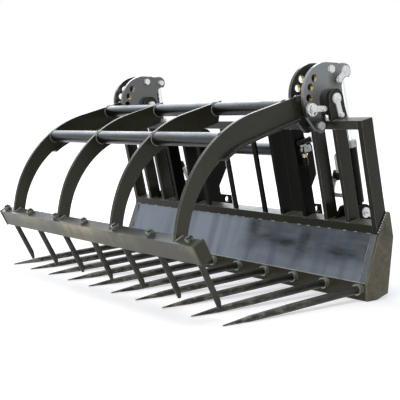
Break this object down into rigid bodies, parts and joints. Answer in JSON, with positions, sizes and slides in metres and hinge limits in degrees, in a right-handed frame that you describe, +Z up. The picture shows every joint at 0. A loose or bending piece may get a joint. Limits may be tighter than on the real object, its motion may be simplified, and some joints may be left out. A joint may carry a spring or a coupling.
{
  "type": "manure fork grapple",
  "caption": "Tined loader fork with a back frame and a hinged grab of curved arms, opened by rams behind the frame.",
  "frame": {"origin": "centre of the footprint, on the ground under the beam and the lowest tine points", "axes": "+X across the width, -Y along the lower tines, +Z up"},
  "size_m": [1.5, 0.9227, 0.805],
  "materials": {
    "black_paint": "satin black paint on welded steel",
    "panel_paint": "satin grey-black paint with rub marks",
    "bar_paint": "thin black paint, rubbed",
    "forged_steel": "dark forged steel",
    "nut_steel": "blackened steel",
    "quadrant_paint": "glossy dark grey paint",
    "zinc": "bright zinc plate",
    "brass_bush": "brass",
    "ram_paint": "gloss black paint",
    "gland_steel": "machined steel",
    "pipe_steel": "zinc-plated pipe and couplings",
    "chrome_rod": "hard chrome"
  },
  "bodies": {
    "frame": {"tine_beam": "black_paint", "tine_sockets": "forged_steel", "lower_tines": "forged_steel", "lower_tine_nuts": "nut_steel", "sloped_panel": "panel_paint", "panel_ribs": "black_paint", "end_plate_left": "black_paint", "end_plate_right": "black_paint", "lower_rail": "black_paint", "top_rail": "black_paint", "end_post_left": "black_paint", "end_post_right": "black_paint", "tower_bars": "black_paint", "hitch_bars": "black_paint", "slim_bars": "black_paint", "ear_left_outer": "black_paint", "ear_left_inner": "black_paint", "ear_right_inner": "black_paint", "ear_right_outer": "black_paint", "hitch_plate_left": "black_paint", "hitch_plate_right": "black_paint", "hitch_tube": "black_paint", "ram_lugs": "black_paint", "base_pins": "zinc", "pivot_pins": "zinc", "pivot_washers": "zinc", "hose_couplings": "zinc", "coupling_nuts": "brass_bush"},
    "grab": {"arm_1": "black_paint", "arm_2": "black_paint", "arm_3": "black_paint", "arm_4": "black_paint", "arm_flange_left": "black_paint", "arm_flange_right": "black_paint", "front_tube": "black_paint", "rear_tube": "black_paint", "grab_bar": "bar_paint", "grab_bar_caps": "bar_paint", "grab_tines": "forged_steel", "grab_tine_nuts": "nut_steel", "quadrant_left_outer": "quadrant_paint", "quadrant_left_inner": "quadrant_paint", "quadrant_right_inner": "quadrant_paint", "quadrant_right_outer": "quadrant_paint", "index_bushes": "brass_bush", "index_pins": "zinc", "rod_pins": "zinc", "quadrant_bolts": "zinc", "quadrant_spacers": "black_paint", "linch_pins": "zinc"},
    "barrel_left": {"barrel_left": "ram_paint", "gland_left": "gland_steel", "ram_pipes_left": "pipe_steel"},
    "barrel_right": {"barrel_right": "ram_paint", "gland_right": "gland_steel", "ram_pipes_right": "pipe_steel"},
    "rod_left": {"rod_left": "chrome_rod", "piston_left": "gland_steel"},
    "rod_right": {"rod_right": "chrome_rod", "piston_right": "gland_steel"}
  },
  "joints": [
    {"name": "grab_open", "type": "hinge", "parent": "frame", "child": "grab", "pos_m": [0, 0.18766, 0.67838], "axis": [-1, 0, 0], "range_deg": [0, 55]},
    {"name": "ram_swing_left", "type": "hinge", "parent": "frame", "child": "barrel_left", "pos_m": [-0.56, 0.36382, 0.27648], "axis": [-1, 0, 0], "range_deg": [-0.2, 4.4]},
    {"name": "rod_slide_left", "type": "slide", "parent": "barrel_left", "child": "rod_left", "axis": [0, -0.2064, 0.9785], "range_m": [-0.105, 0.001]},
    {"name": "ram_swing_right", "type": "hinge", "parent": "frame", "child": "barrel_right", "pos_m": [0.56, 0.36382, 0.27648], "axis": [-1, 0, 0], "range_deg": [-0.2, 4.4]},
    {"name": "rod_slide_right", "type": "slide", "parent": "barrel_right", "child": "rod_right", "axis": [0, -0.2064, 0.9785], "range_m": [-0.105, 0.001]}
  ],
  "couplings": [
    {"joint": "ram_swing_left", "follows": "grab_open", "ratio": 0.073705},
    {"joint": "rod_slide_left", "follows": "grab_open", "m_per_rad": -0.10654},
    {"joint": "ram_swing_right", "follows": "grab_open", "ratio": 0.073705},
    {"joint": "rod_slide_right", "follows": "grab_open", "m_per_rad": -0.10654}
  ]
}
